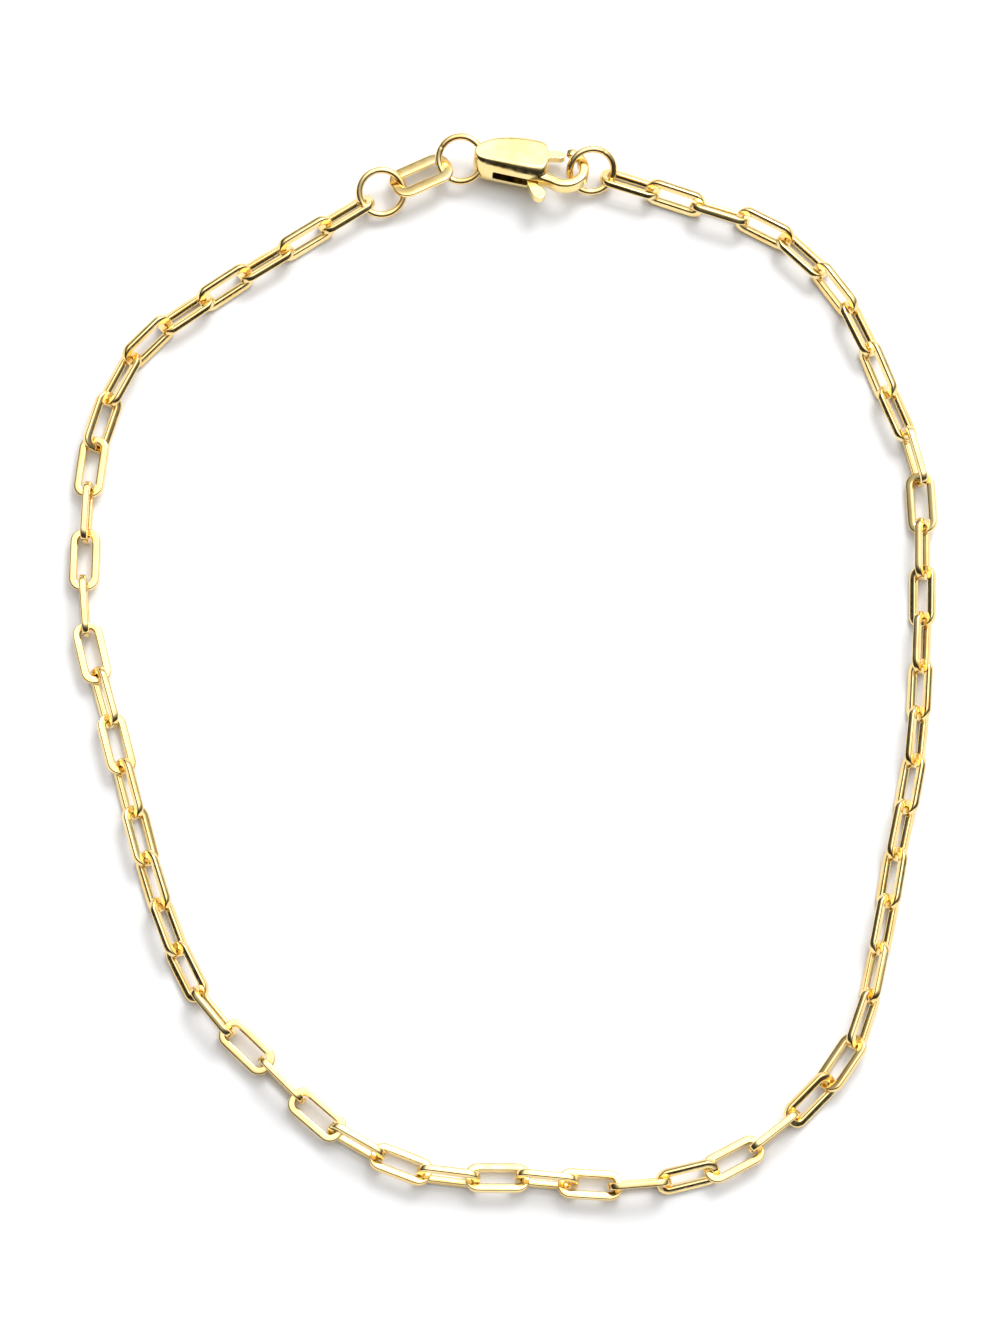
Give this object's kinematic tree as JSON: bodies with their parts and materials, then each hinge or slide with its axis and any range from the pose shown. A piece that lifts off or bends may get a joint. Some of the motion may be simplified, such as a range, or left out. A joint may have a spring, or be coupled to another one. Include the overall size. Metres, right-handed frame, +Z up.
{
  "type": "paperclip chain bracelet",
  "caption": "Gold paperclip link chain bracelet, fastened in a loop by a lobster claw clasp with a sprung thumb lever and jump rings.",
  "frame": {"origin": "middle of the loop's box, on the surface that the bracelet lies on", "axes": "+Z up, out of the surface; +Y towards the clasp, along the loop's longest side; +X to the right as the picture shows it"},
  "size_m": [0.0532, 0.0662, 0.0028],
  "materials": {
    "chain_gold": "polished yellow gold, flat wire",
    "ring_gold": "polished yellow gold, round wire",
    "clasp_gold": "polished yellow gold, cast"
  },
  "bodies": {
    "bracelet": {"chain_left_half": "chain_gold", "chain_right_half": "chain_gold", "chain_ring": "ring_gold", "connector_link": "chain_gold", "tail_ring": "ring_gold", "clasp_body": "clasp_gold", "eye_ring": "ring_gold"},
    "lever": {"clasp_lever": "clasp_gold"}
  },
  "joints": [
    {"name": "clasp_lever_hinge", "type": "hinge", "parent": "bracelet", "child": "lever", "pos_m": [0.00109, 0.03145, 0.00121], "axis": [0.0292, 0.3408, 0.9397], "range_deg": [-20, 0], "stiffness_Nm_per_rad": 0.002}
  ]
}
